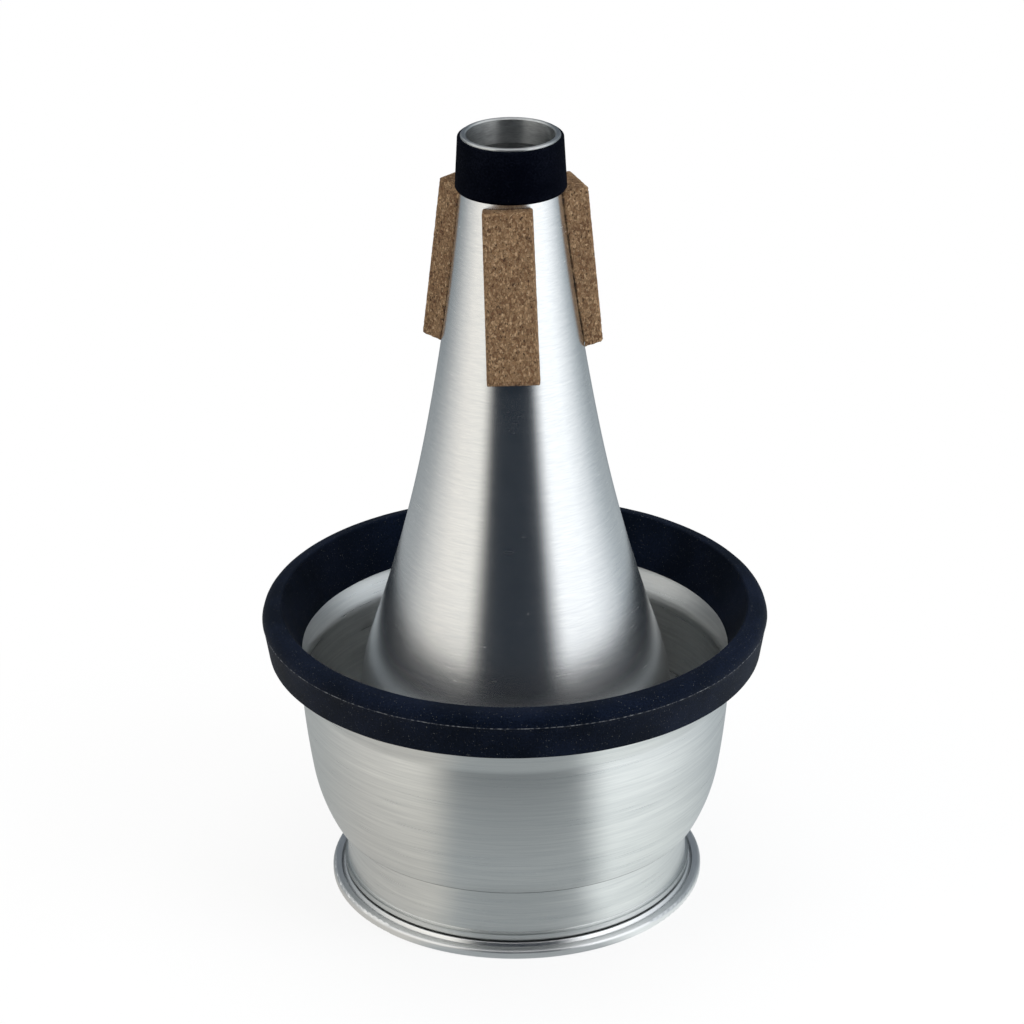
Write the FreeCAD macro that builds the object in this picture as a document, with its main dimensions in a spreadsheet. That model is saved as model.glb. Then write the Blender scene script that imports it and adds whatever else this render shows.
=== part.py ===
import FreeCAD
import Part
import math
import os
import Sketcher

# Trumpet cup mute: a hollow flared body of spun aluminium that is held in the bell by
# three corks, and a spun cup with a rubber rim that slides on the body's straight foot.
# Z is the axis, z = 0 is the floor under the rolled base, lengths are in millimetres and
# angles in degrees. Nearly every piece is a turned section, drawn as radius and height.

SIZES = (
    ("overall_height", 194.0),        # floor to the top of the throat ring
    ("body_radius", 38.4),            # straight foot that the cup slides on
    ("body_wall", 0.8),               # sheet of the body
    ("shoulder_radius", 62.0),        # bend from the foot into the flare
    ("flare_angle", 18.1),            # lean of the wall where the flare is widest
    ("cone_height", 7.3),             # straight part between the bend and the sweeps
    ("middle_angle", 10.8),           # lean of the wall between the two sweeps
    ("upper_flare_radius", 700.0),    # sweep of the flare's upper half
    ("neck_angle", 5.5),              # lean of the wall where the neck starts
    ("neck_radius", 11.7),            # straight neck under the sleeve
    ("neck_length", 10.5),            # end of the flare to the top
    ("flange_height", 3.0),           # top of the foot's outward flange
    ("base_overhang", 7.8),           # rolled base beyond the foot
    ("cap_wall", 0.8),                # sheet of the base cap
    ("hem_width", 2.05),              # cap's sheet folded over the flange
    ("slope_width", 0.85),            # flange's step down into the fold
    ("bend_shift", 0.45),             # set of a parallel sheet along that step
    ("panel_step_radius", 28.0),      # pressed step in the cap's panel
    ("panel_step_height", 1.2),
    ("panel_step_width", 2.0),
    ("throat_ring_wall", 0.45),
    ("throat_ring_length", 6.0),
    ("throat_flange_height", 0.45),
    ("throat_flange_inset", 0.05),   # flange inside the neck's outside
    ("throat_chamfer", 0.3),
    ("sleeve_length", 12.6),
    ("sleeve_wall", 0.7),             # at its top edge
    ("sleeve_lean", 3.2),             # lean of its outside
    ("pad_width", 12.4),
    ("pad_height", 5.4),              # outer face beyond the neck, at the pad's top
    ("pad_lean", 5.5),                # lean of the outer face
    ("pad_end_slope", 9.5),           # both ends are cut square to the flare
    ("pad_rounding", 0.8),
    ("front_pad_length", 41.2),       # each pad is cut and glued by hand
    ("front_pad_drop", 0.35),         # sleeve to the outer top edge
    ("front_pad_turn", -91.2),        # where it stands round the axis
    ("front_pad_tilt", 1.7),          # how far it is glued out of upright
    ("right_pad_length", 39.4),
    ("right_pad_drop", 0.05),
    ("right_pad_turn", 19.6),
    ("right_pad_tilt", 0.1),
    ("left_pad_length", 39.0),
    ("left_pad_drop", -0.15),
    ("left_pad_turn", 146.7),
    ("left_pad_tilt", 4.0),
    ("seat_gap", 0.3),                # cup's lip over the flange
    ("cup_wall", 0.9),
    ("collar_height", 14.7),          # lip's lower edge to the cup's floor
    ("crease_radius", 0.5),           # collar into the floor
    ("lip_height", 2.0),
    ("lip_overhang", 0.8),
    ("floor_width", 2.6),             # collar to where the flat floor turns up
    ("floor_bend", 1.0),
    ("knee_angle", 28.0),             # lean of the cup's wall over the floor
    ("knee_radius", 43.0),
    ("wall_angle", 8.8),              # lean of the wall over the knee
    ("wall_radius", 228.0),
    ("rim_angle", 3.3),               # lean of the wall under the rim
    ("rim_straight", 0.44),           # height of the straight wall under the rim
    ("rim_bend", 5.0),
    ("rim_flare", 28.0),              # lean of the flared rim
    ("rim_length", 10.0),             # height of the flared rim
    ("ring_lift", 6.31),              # rim's bend to the rubber's underside
    ("ring_width", 3.52),             # rubber outside the metal, at its underside
    ("ring_bulge", 1.4),              # parting line beyond the lower corner
    ("parting_height", 8.6),          # underside to the parting line
    ("ring_height", 12.0),
    ("ring_shoulder", 2.6),           # inward run of the rounded shoulder
    ("ring_crown", 4.6),              # parting line to the inner top edge
    ("ring_crown_drop", 0.3),         # shoulder's end below the inner top edge
    ("ring_lip", 3.38),               # rubber inside the metal, at its underside
    ("ring_rounding", 0.5),
    ("liner_gap", 0.2),               # liner to foot
    ("liner_thickness", 2.75),
    ("liner_play", 0.05),             # liner to collar
    ("liner_inset", 0.6),             # liner above the lip's lower edge
    ("fold_play", 0.05),              # between sheets in the base's fold
    ("glue_gap", 0.05),               # sleeve and pads to the wall, metal in rubber
    ("edge_rounding", 0.35),          # spun and cut edges
)

doc = FreeCAD.newDocument("cup_mute")
sheet = doc.addObject("Spreadsheet::Sheet", "sizes")
for row, (size_name, size_value) in enumerate(SIZES, start=1):
    sheet.set(f"A{row}", f"{size_value:g}")
    sheet.setAlias(f"A{row}", size_name)
doc.recompute()


class Size:
    """A length or angle as a number and as the expression that gives it."""

    def __init__(self, value, text):
        self.value = value
        self.text = text

    def __add__(self, other):
        return Size(self.value + other.value, f"({self.text} + {other.text})")

    def __sub__(self, other):
        return Size(self.value - other.value, f"({self.text} - {other.text})")

    def __mul__(self, other):
        return Size(self.value * other.value, f"({self.text} * {other.text})")

    def __truediv__(self, other):
        return Size(self.value / other.value, f"({self.text} / {other.text})")


def size(name):
    """A driving size by its alias."""
    return Size(float(sheet.get(name)), f"<<sizes>>.{name}")


def sine(angle):
    return Size(math.sin(math.radians(angle.value)), f"sin({angle.text} * 1 deg)")


def cosine(angle):
    return Size(math.cos(math.radians(angle.value)), f"cos({angle.text} * 1 deg)")


def tangent(angle):
    return sine(angle) / cosine(angle)


ZERO = Size(0.0, "0")
ONE = Size(1.0, "1")
TWO = Size(2.0, "2")
LEVEL = Size(90.0, "90")
LEFT = 1
RIGHT = -1
LEAST_CUT = 100.0  # mm3, well under what the wall takes out of a sleeve or a pad


class Corner:
    """A corner of a section, and the edge that arrives at it: straight, or an arc
    of the given bow whose centre lies to the left or right of the way taken. The
    lean is the wall's angle off the axis there, outward as it goes up."""

    def __init__(self, radius, height, bow=None, side=LEFT, lean=ZERO):
        self.radius = radius
        self.height = height
        self.bow = bow
        self.side = side
        self.lean = lean

    def inward(self, depth):
        """The same corner on a face at the given depth under a wall that goes up."""
        radius = self.radius - depth * cosine(self.lean)
        height = self.height + depth * sine(self.lean)
        bow = self.bow
        if bow is not None:
            bow = bow - depth if self.side == LEFT else bow + depth
        return Corner(radius, height, bow, self.side, self.lean)


def turned_back(run):
    """The same run of corners taken the other way."""
    back = []
    arriving = None
    side = LEFT
    for corner in reversed(run):
        back.append(Corner(corner.radius, corner.height, arriving, side, corner.lean))
        arriving = corner.bow
        side = -corner.side
    return back


def arc_between(start, end, bow, side):
    """An arc from start to end, and whether it runs in the sketch's own sense."""
    chord = end - start
    half = chord.Length / 2
    rise = math.sqrt(bow * bow - half * half)
    normal = FreeCAD.Vector(-chord.y, chord.x, 0).normalize()
    centre = (start + end) * 0.5 + normal * (side * rise)
    first, last = (start, end) if side == LEFT else (end, start)
    first_angle = math.atan2(first.y - centre.y, first.x - centre.x)
    last_angle = math.atan2(last.y - centre.y, last.x - centre.x)
    if last_angle < first_angle:
        last_angle += 2 * math.pi
    circle = Part.Circle(centre, FreeCAD.Vector(0, 0, 1), bow)
    return Part.ArcOfCircle(circle, first_angle, last_angle)


def hold(sketch, constraint, part):
    """Adds a constraint whose value follows the sheet."""
    number = sketch.addConstraint(constraint)
    sketch.setExpression(f"Constraints[{number}]", part.text)
    return number, part.value


def pin_down(sketch, edge, end, corner):
    """Ties an end of an edge to the corner's radius and height."""
    held = []
    for kind, line, part in (
        ("DistanceX", -2, corner.radius),
        ("DistanceY", -1, corner.height),
    ):
        if part is ZERO:
            sketch.addConstraint(Sketcher.Constraint("PointOnObject", edge, end, line))
            continue
        rule = Sketcher.Constraint(kind, -1, 1, edge, end, part.value)
        held.append(hold(sketch, rule, part))
    return held


def draw_section(body, name, corners):
    """Draws a closed section in the body's plane of radius and height."""
    plane = next(o for o in body.Origin.OriginFeatures if o.Role == "XZ_Plane")
    sketch = body.newObject("Sketcher::SketchObject", name)
    sketch.AttachmentSupport = [(plane, "")]
    sketch.MapMode = "FlatFace"
    points = [FreeCAD.Vector(c.radius.value, c.height.value, 0) for c in corners]
    ends = []
    held = []
    for i, corner in enumerate(corners):
        start, end = points[i - 1], points[i]
        if corner.bow is None:
            edge = sketch.addGeometry(Part.LineSegment(start, end), False)
            ends.append((edge, 1, 2))
            continue
        arc = arc_between(start, end, corner.bow.value, corner.side)
        edge = sketch.addGeometry(arc, False)
        ends.append((edge, 1, 2) if corner.side == LEFT else (edge, 2, 1))
    for i, corner in enumerate(corners):
        edge, first, last = ends[i]
        following, next_first, _ = ends[(i + 1) % len(ends)]
        sketch.addConstraint(
            Sketcher.Constraint("Coincident", edge, last, following, next_first)
        )
        held += pin_down(sketch, edge, last, corner)
        if corner.bow is not None:
            rule = Sketcher.Constraint("Radius", edge, corner.bow.value)
            held.append(hold(sketch, rule, corner.bow))
    doc.recompute()
    for number, value in held:
        if abs(sketch.getDatum(number).Value - value) > 0.000001:
            raise RuntimeError(f"{body.Label} {name}: constraint {number} is off")
    return sketch


def turn_section(body, name, corners, kind="PartDesign::Revolution"):
    """Turns a section once round the axis, as metal or as a cut."""
    sketch = draw_section(body, f"{name}_section", corners)
    turned = body.newObject(kind, name)
    turned.Profile = (sketch, [""])
    turned.ReferenceAxis = (sketch, ["V_Axis"])
    turned.Angle = 360
    doc.recompute()
    return turned


def round_edges(body, name, rings, rounding):
    """Rounds the turned edges that lie at the given radii and heights."""
    base = body.Tip
    picked = []
    for number, edge in enumerate(base.Shape.Edges, start=1):
        if not isinstance(edge.Curve, Part.Circle):
            continue
        for radius, height in rings:
            if abs(edge.Curve.Radius - radius.value) > 0.001:
                continue
            if abs(edge.Curve.Center.z - height.value) < 0.001:
                picked.append(f"Edge{number}")
    fillet = body.newObject("PartDesign::Fillet", name)
    fillet.Base = (base, picked)
    fillet.setExpression("Radius", rounding.text)
    doc.recompute()
    return fillet


def new_body(label):
    body = doc.addObject("PartDesign::Body", label)
    body.Label = label
    return body


# Heights and radii that several pieces share.
top = size("overall_height")
neck_top = top - size("throat_flange_height")
seam_height = size("cap_wall") + size("body_wall")
base_radius = size("body_radius") + size("base_overhang")
fold_radius = base_radius - size("cap_wall")
hem_radius = base_radius - size("hem_width")
slope_foot = hem_radius - size("fold_play")
slope_head = slope_foot - size("slope_width")
flange_underside = size("flange_height") - size("body_wall")
lip_bottom = size("flange_height") + size("seat_gap")
cup_floor = lip_bottom + size("collar_height")
liner_bore = size("body_radius") + size("liner_gap")
liner_outside = liner_bore + size("liner_thickness")
collar_bore = liner_outside + size("liner_play")
collar_outside = collar_bore + size("cup_wall")
sleeve_bottom = neck_top - size("sleeve_length")


def flare():
    """The body's outer wall from the foot's upper end to the neck, going up. The
    lower sweep's radius is the one that joins the two widths."""
    neck, upper = size("neck_radius"), size("upper_flare_radius")
    neck_start = top - size("neck_length")
    lean, middle, slight = size("flare_angle"), size("middle_angle"), size("neck_angle")
    middle_radius = neck + upper * (cosine(slight) - cosine(middle))
    middle_height = neck_start - upper * (sine(middle) - sine(slight))
    bend = size("shoulder_radius")
    bend_radius = size("body_radius") - bend * (ONE - cosine(lean))
    wide_radius = bend_radius - size("cone_height") * tangent(lean)
    lower = (wide_radius - middle_radius) / (cosine(middle) - cosine(lean))
    wide_height = middle_height - lower * (sine(lean) - sine(middle))
    bend_height = wide_height - size("cone_height")
    foot_height = bend_height - bend * sine(lean)
    return [
        Corner(size("body_radius"), foot_height),
        Corner(bend_radius, bend_height, bend, LEFT, ZERO - lean),
        Corner(wide_radius, wide_height, lean=ZERO - lean),
        Corner(middle_radius, middle_height, lower, RIGHT, ZERO - middle),
        Corner(neck, neck_start, upper, RIGHT, ZERO - slight / TWO),
    ]


def cut_to_wall(body):
    """Cuts a piece that is glued on the flare back to the wall's own shape."""
    gap = size("glue_gap")
    wall = [corner.inward(ZERO - gap) for corner in flare()[2:]]
    wall[0].bow = None
    neck = size("neck_radius") + gap
    beyond = top + size("neck_length")
    uncut = body.Shape.Volume
    turn_section(
        body,
        "wall_seat",
        [Corner(ZERO, wall[0].height), *wall, Corner(neck, beyond), Corner(ZERO, beyond)],
        "PartDesign::Groove",
    )
    if uncut - body.Shape.Volume < LEAST_CUT:
        raise RuntimeError(f"{body.Label}: the wall's cut took nothing away")


def make_mute_body():
    """Spun shell: neck, flare, straight foot and the flange held in the base's fold."""
    body = new_body("mute_body")
    wall = size("body_wall")
    neck, foot = size("neck_radius"), size("body_radius")
    edge = fold_radius - size("fold_play")
    outside = flare()
    inside = turned_back([corner.inward(wall) for corner in outside])
    turn_section(
        body,
        "shell",
        [
            Corner(foot, size("flange_height")),
            *outside,
            Corner(neck, neck_top),
            Corner(neck - wall, neck_top),
            *inside,
            Corner(foot - wall, flange_underside),
            Corner(slope_head - size("bend_shift"), flange_underside),
            Corner(slope_foot - size("bend_shift"), size("cap_wall")),
            Corner(edge, size("cap_wall")),
            Corner(edge, seam_height),
            Corner(slope_foot, seam_height),
            Corner(slope_head, size("flange_height")),
        ],
    )
    round_edges(body, "root", [(foot, size("flange_height"))], wall)
    return body


def make_base_cap():
    """Pressed disc that closes the wide end, its rim folded over the body's flange."""
    body = new_body("base_cap")
    wall = size("cap_wall")
    panel_top = flange_underside
    step_top = panel_top + size("panel_step_height")
    step = size("panel_step_radius")
    step_foot = step + size("panel_step_width")
    well_head = slope_head - size("bend_shift")
    well_foot = slope_foot - size("bend_shift")
    hem_top = seam_height + wall
    turn_section(
        body,
        "pressing",
        [
            Corner(ZERO, step_top - wall),
            Corner(step - size("bend_shift"), step_top - wall),
            Corner(step_foot - size("bend_shift"), panel_top - wall),
            Corner(well_head - size("bend_shift"), panel_top - wall),
            Corner(well_foot - size("bend_shift"), ZERO),
            Corner(base_radius, ZERO),
            Corner(base_radius, hem_top),
            Corner(hem_radius, hem_top),
            Corner(hem_radius, seam_height),
            Corner(fold_radius, seam_height),
            Corner(fold_radius, wall),
            Corner(well_foot, wall),
            Corner(well_head, panel_top),
            Corner(step_foot, panel_top),
            Corner(step, step_top),
            Corner(ZERO, step_top),
        ],
    )
    outer = [(base_radius, ZERO), (base_radius, hem_top)]
    round_edges(body, "rolled_edge", outer, wall)
    return body


def make_throat_ring():
    """Turned ferrule in the neck, its flange closing the neck's cut edge."""
    body = new_body("throat_ring")
    chamfer = size("throat_chamfer")
    tube = size("neck_radius") - size("body_wall") - size("fold_play")
    bore = tube - size("throat_ring_wall")
    flange = size("neck_radius") - size("throat_flange_inset")
    turn_section(
        body,
        "ferrule",
        [
            Corner(bore, top - size("throat_ring_length")),
            Corner(tube, top - size("throat_ring_length")),
            Corner(tube, neck_top),
            Corner(flange, neck_top),
            Corner(flange, top),
            Corner(bore + chamfer, top),
            Corner(bore, top - chamfer),
        ],
    )
    round_edges(body, "top_edge", [(flange, top)], size("edge_rounding"))
    return body


def make_tip_sleeve():
    """Rubber sleeve stretched over the neck and the end of the flare."""
    body = new_body("tip_sleeve")
    sleeve_top = neck_top - size("glue_gap")
    outside = size("neck_radius") + size("sleeve_wall")
    foot = outside + size("sleeve_length") * tangent(size("sleeve_lean"))
    turn_section(
        body,
        "sleeve",
        [
            Corner(ZERO, sleeve_bottom),
            Corner(foot, sleeve_bottom),
            Corner(outside, sleeve_top),
            Corner(ZERO, sleeve_top),
        ],
    )
    cut_to_wall(body)
    edges = [(foot, sleeve_bottom), (outside, sleeve_top)]
    round_edges(body, "soft_edges", edges, size("edge_rounding"))
    return body


def make_cork_pad(place):
    """Cork block glued to the flare, flat outside and hollowed to the wall inside."""
    label = f"cork_pad_{place}"
    body = new_body(label)
    length, tilt = size(f"{place}_pad_length"), size(f"{place}_pad_tilt")
    turn = size(f"{place}_pad_turn")
    pad_top = sleeve_bottom - size(f"{place}_pad_drop")
    pad_bottom = pad_top - length
    head = size("neck_radius") + size("pad_height")
    foot = head + length * tangent(size("pad_lean"))
    slope = tangent(size("pad_end_slope"))
    corners = [
        Corner(ZERO, pad_bottom - foot * slope),
        Corner(foot, pad_bottom),
        Corner(head, pad_top),
        Corner(ZERO, pad_top - head * slope),
    ]
    sketch = draw_section(body, "block_section", corners)
    middle = pad_bottom + length / TWO
    sketch.AttachmentOffset = FreeCAD.Placement(
        FreeCAD.Vector(0, 0, 0), FreeCAD.Rotation(FreeCAD.Vector(1, 0, 0), 1)
    )
    sketch.setExpression("AttachmentOffset.Rotation.Angle", f"{tilt.text} * 1 deg")
    rise = middle * (ONE - cosine(tilt))
    sketch.setExpression("AttachmentOffset.Base.y", rise.text)
    sketch.setExpression("AttachmentOffset.Base.z", (ZERO - middle * sine(tilt)).text)
    block = body.newObject("PartDesign::Pad", "block")
    block.Profile = (sketch, [""])
    block.SideType = "Symmetric"
    block.setExpression("Length", size("pad_width").text)
    doc.recompute()
    cut_to_wall(body)
    seated = body.Tip
    picked = []
    for number, edge in enumerate(seated.Shape.Edges, start=1):
        box = edge.BoundBox
        if box.XMin > head.value - 0.001 and isinstance(edge.Curve, Part.Line):
            picked.append(f"Edge{number}")
    if len(picked) != 4:
        raise RuntimeError(f"{label}: {len(picked)} outer edges in place of four")
    fillet = body.newObject("PartDesign::Fillet", "worn_edges")
    fillet.Base = (seated, picked)
    fillet.setExpression("Radius", size("pad_rounding").text)
    body.setExpression("Placement.Rotation.Angle", f"{turn.text} * 1 deg")
    doc.recompute()
    return body


def cup_outside():
    """The cup's outer wall from the floor's outer edge to the flared rim, going up."""
    bend, knee, sweep = size("floor_bend"), size("knee_radius"), size("wall_radius")
    low, high, last = size("knee_angle"), size("wall_angle"), size("rim_angle")
    floor_radius = collar_outside + size("floor_width")
    turn_radius = floor_radius + bend * cosine(low)
    turn_height = cup_floor + bend * (ONE - sine(low))
    knee_radius = turn_radius + knee * (cosine(high) - cosine(low))
    knee_height = turn_height + knee * (sine(low) - sine(high))
    wall_radius = knee_radius + sweep * (cosine(last) - cosine(high))
    wall_height = knee_height + sweep * (sine(high) - sine(last))
    straight = size("rim_straight")
    rim_radius, rim_height = wall_radius + straight * tangent(last), wall_height + straight
    out, flared, length = size("rim_bend"), size("rim_flare"), size("rim_length")
    bend_radius = rim_radius + out * (cosine(last) - cosine(flared))
    bend_height = rim_height + out * (sine(flared) - sine(last))
    end_radius, end_height = bend_radius + length * tangent(flared), bend_height + length
    return [
        Corner(floor_radius, cup_floor, lean=LEVEL),
        Corner(turn_radius, turn_height, bend, LEFT, low),
        Corner(knee_radius, knee_height, knee, LEFT, high),
        Corner(wall_radius, wall_height, sweep, LEFT, last),
        Corner(rim_radius, rim_height, lean=last),
        Corner(bend_radius, bend_height, out, RIGHT, flared),
        Corner(end_radius, end_height, lean=flared),
    ]


def make_cup_shell():
    """Spun cup: collar with a hemmed lip, flat floor, bulging wall and flared rim."""
    body = new_body("cup_shell")
    wall, lip = size("cup_wall"), collar_outside + size("lip_overhang")
    lip_top = lip_bottom + size("lip_height")
    outside = cup_outside()
    inside = turned_back([corner.inward(wall) for corner in outside])
    turn_section(
        body,
        "spinning",
        [
            Corner(lip, lip_bottom),
            Corner(lip, lip_top),
            Corner(collar_outside, lip_top),
            Corner(collar_outside, cup_floor),
            *outside,
            *inside,
            Corner(collar_bore, cup_floor + wall),
            Corner(collar_bore, lip_bottom),
        ],
    )
    edges = [(lip, lip_bottom), (lip, lip_top)]
    round_edges(body, "lip_edges", edges, size("edge_rounding"))
    crease = size("crease_radius")
    round_edges(body, "crease", [(collar_outside, cup_floor)], crease)
    brow = [(collar_bore, cup_floor + wall)]
    round_edges(body, "crease_inside", brow, crease + wall)
    return body


def make_collar_liner():
    """Felt band inside the collar that grips the body's straight foot."""
    body = new_body("collar_liner")
    bottom = lip_bottom + size("liner_inset")
    turn_section(
        body,
        "band",
        [
            Corner(liner_bore, bottom),
            Corner(liner_outside, bottom),
            Corner(liner_outside, cup_floor),
            Corner(liner_bore, cup_floor),
        ],
    )
    edges = [(liner_bore, bottom), (liner_bore, cup_floor)]
    round_edges(body, "soft_edges", edges, size("edge_rounding"))
    return body


def make_rim_ring():
    """Moulded rubber ring pushed over the cup's flared rim."""
    body = new_body("rim_ring")
    gap, wall = size("glue_gap"), size("cup_wall")
    bend, rim = cup_outside()[-2:]
    flared = tangent(size("rim_flare"))
    sheet_width = wall / cosine(size("rim_flare"))
    lift = size("ring_lift")
    underside = bend.height + lift
    metal = bend.radius + lift * flared
    corner = metal + size("ring_width")
    parting = corner + size("ring_bulge")
    parting_height = underside + size("parting_height")
    crown = underside + size("ring_height")
    shoulder = parting - size("ring_shoulder")
    shoulder_height = crown - size("ring_crown_drop")
    shoulder_rise = shoulder_height - parting_height
    run = size("ring_shoulder")
    shoulder_bow = (run * run + shoulder_rise * shoulder_rise) / (TWO * run)
    inner_top = parting - size("ring_crown")
    slot_top = rim.inward(wall).height + gap
    slot_in, slot_out = metal - sheet_width - gap, metal + gap
    slot_run = (slot_top - underside) * flared
    turn_section(
        body,
        "moulding",
        [
            Corner(corner, underside),
            Corner(parting, parting_height),
            Corner(shoulder, shoulder_height, shoulder_bow, LEFT),
            Corner(inner_top, crown),
            Corner(slot_in - size("ring_lip"), underside),
            Corner(slot_in, underside),
            Corner(slot_in + slot_run, slot_top),
            Corner(slot_out + slot_run, slot_top),
            Corner(slot_out, underside),
        ],
    )
    edges = [(corner, underside), (inner_top, crown)]
    round_edges(body, "soft_edges", edges, size("ring_rounding"))
    return body


pieces = [
    make_mute_body(),
    make_base_cap(),
    make_throat_ring(),
    make_tip_sleeve(),
    make_cup_shell(),
    make_collar_liner(),
    make_rim_ring(),
]
for place in ("front", "right", "left"):
    pieces.append(make_cork_pad(place))

doc.recompute()
for item in doc.Objects:
    if "Invalid" in item.State or "Error" in item.State:
        raise RuntimeError(f"{item.Name} failed: {item.State}")
for piece in pieces:
    if piece.Shape.isNull() or not piece.Shape.isValid():
        raise RuntimeError(f"{piece.Label} has no valid shape")
    if len(piece.Shape.Solids) != 1:
        raise RuntimeError(f"{piece.Label} is not one solid")

os.makedirs("parts", exist_ok=True)
for piece in pieces:
    piece.Shape.exportStep(f"parts/{piece.Label}.step")
    box = piece.Shape.BoundBox
    volume = piece.Shape.Volume / 1000
    print(f"{piece.Label}: {volume:.2f} cm3, z {box.ZMin:.2f} to {box.ZMax:.2f}")
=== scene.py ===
"""Trumpet cup mute: the finish of each piece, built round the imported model, on a pale studio floor."""

from __future__ import annotations

import logging
import math
from dataclasses import dataclass, field
from enum import Enum

import bpy
import numpy as np
from mathutils import Euler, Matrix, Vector

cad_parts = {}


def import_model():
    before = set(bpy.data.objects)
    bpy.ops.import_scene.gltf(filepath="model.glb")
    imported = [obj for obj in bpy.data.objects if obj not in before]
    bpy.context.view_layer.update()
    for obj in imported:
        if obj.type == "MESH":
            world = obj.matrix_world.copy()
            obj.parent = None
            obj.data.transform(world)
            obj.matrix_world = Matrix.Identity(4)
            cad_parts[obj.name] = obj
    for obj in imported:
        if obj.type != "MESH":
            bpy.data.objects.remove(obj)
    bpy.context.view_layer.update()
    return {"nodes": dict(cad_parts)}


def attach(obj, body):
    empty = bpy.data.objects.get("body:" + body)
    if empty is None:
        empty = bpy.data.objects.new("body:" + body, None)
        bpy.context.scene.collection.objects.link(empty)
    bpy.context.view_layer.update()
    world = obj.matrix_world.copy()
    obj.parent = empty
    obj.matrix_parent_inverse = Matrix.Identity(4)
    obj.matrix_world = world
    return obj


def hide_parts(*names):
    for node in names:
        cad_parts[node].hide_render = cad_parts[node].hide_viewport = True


MM = 0.001
LOG = logging.getLogger("cup_mute")


class Slot(Enum):
    """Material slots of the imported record."""

    ALUMINIUM = "spun_aluminium"
    SLEEVE = "sleeve_rubber"
    CORK = "cork"
    FELT = "felt"
    RIM = "rim_rubber"


class Body(Enum):
    """Bodies that the pieces ride on."""

    MUTE = "mute"
    CARRIAGE = "carriage"
    CUP = "cup"


def linear(code: str) -> tuple[float, float, float, float]:
    """Turns an sRGB hex colour into the linear colour that shaders use.

    Args:
        code: Six hex digits after a hash sign.

    Returns:
        Red, green, blue and an alpha of one.
    """
    shares = [int(code[i : i + 2], 16) / 255 for i in (1, 3, 5)]
    red, green, blue = (s / 12.92 if s <= 0.04045 else ((s + 0.055) / 1.055) ** 2.4 for s in shares)
    return red, green, blue, 1.0


def add_node(
    tree: bpy.types.NodeTree,
    kind: str,
    inputs: dict[str | int, object] | None = None,
    **settings: object,
) -> bpy.types.Node:
    """Adds a node with its settings, values and links.

    Args:
        tree: The node tree that gets the node.
        kind: The node's type.
        inputs: A value, or the socket of another node, for each input by name or number.
        **settings: The node's own properties.

    Returns:
        The new node.
    """
    node = tree.nodes.new(kind)
    for name, value in settings.items():
        setattr(node, name, value)
    for key, value in (inputs or {}).items():
        if isinstance(value, bpy.types.NodeSocket):
            tree.links.new(value, node.inputs[key])
        else:
            node.inputs[key].default_value = value
    return node


def set_stops(ramp: bpy.types.ColorRamp, stops: list[tuple[float, str]]) -> None:
    """Gives a colour ramp its stops.

    Args:
        ramp: The ramp of a node.
        stops: Place from 0 to 1 and hex colour of each stop, in order.
    """
    while len(ramp.elements) > 1:
        ramp.elements.remove(ramp.elements[-1])
    ramp.elements[0].position, ramp.elements[0].color = stops[0][0], linear(stops[0][1])
    for place, code in stops[1:]:
        ramp.elements.new(place).color = linear(code)


@dataclass(frozen=True)
class RoundPlace:
    """Sockets that say where a point of a turned piece lies."""

    heading: bpy.types.NodeSocket
    radius: bpy.types.NodeSocket
    height: bpy.types.NodeSocket
    along: bpy.types.NodeSocket


def round_place(tree: bpy.types.NodeTree) -> RoundPlace:
    """Adds the nodes that find heading, radius and height about the piece's axis.

    Args:
        tree: A material's tree.

    Returns:
        Their sockets, with the level direction that a lathe tool runs along.
    """
    place = add_node(tree, "ShaderNodeTexCoord").outputs["Object"]
    flat = add_node(tree, "ShaderNodeVectorMath", {0: place, 1: (1, 1, 0)}, operation="MULTIPLY")
    heading = add_node(tree, "ShaderNodeVectorMath", {0: flat.outputs[0]}, operation="NORMALIZE")
    radius = add_node(tree, "ShaderNodeVectorMath", {0: flat.outputs[0]}, operation="LENGTH")
    height = add_node(tree, "ShaderNodeSeparateXYZ", {0: place}).outputs["Z"]
    across = {0: (0, 0, 1), 1: heading.outputs[0]}
    along = add_node(tree, "ShaderNodeVectorMath", across, operation="CROSS_PRODUCT")
    turned = add_node(
        tree, "ShaderNodeVectorTransform", {0: along.outputs[0]}, convert_from="OBJECT", convert_to="WORLD"
    )
    return RoundPlace(heading.outputs[0], radius.outputs["Value"], height, turned.outputs[0])


def turned_noise(
    tree: bpy.types.NodeTree, at: RoundPlace, pitch: float, run: float, detail: float
) -> bpy.types.NodeSocket:
    """Adds a noise of thin lines that run round the axis, with no seam.

    Args:
        tree: A material's tree.
        at: Where the point lies.
        pitch: Width of a line in millimetres.
        run: Length of a line in millimetres, on a piece of 50 mm radius.
        detail: Number of finer layers.

    Returns:
        The noise, about 0.5 in the middle.
    """
    turns = 50 / run
    lift = add_node(tree, "ShaderNodeMath", {0: at.height, 1: 1 / (pitch * MM)}, operation="MULTIPLY")
    reach = add_node(tree, "ShaderNodeMath", {0: at.radius, 1: 1 / (pitch * MM)}, operation="MULTIPLY")
    level = add_node(tree, "ShaderNodeCombineXYZ", {"Z": lift.outputs[0]})
    mixed = {0: at.heading, 1: (turns, turns, turns), 2: level.outputs[0]}
    place = add_node(tree, "ShaderNodeVectorMath", mixed, operation="MULTIPLY_ADD")
    values = {"Vector": place.outputs[0], "W": reach.outputs[0], "Scale": 1.0, "Detail": detail}
    return add_node(tree, "ShaderNodeTexNoise", values, noise_dimensions="4D").outputs["Fac"]


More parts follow.
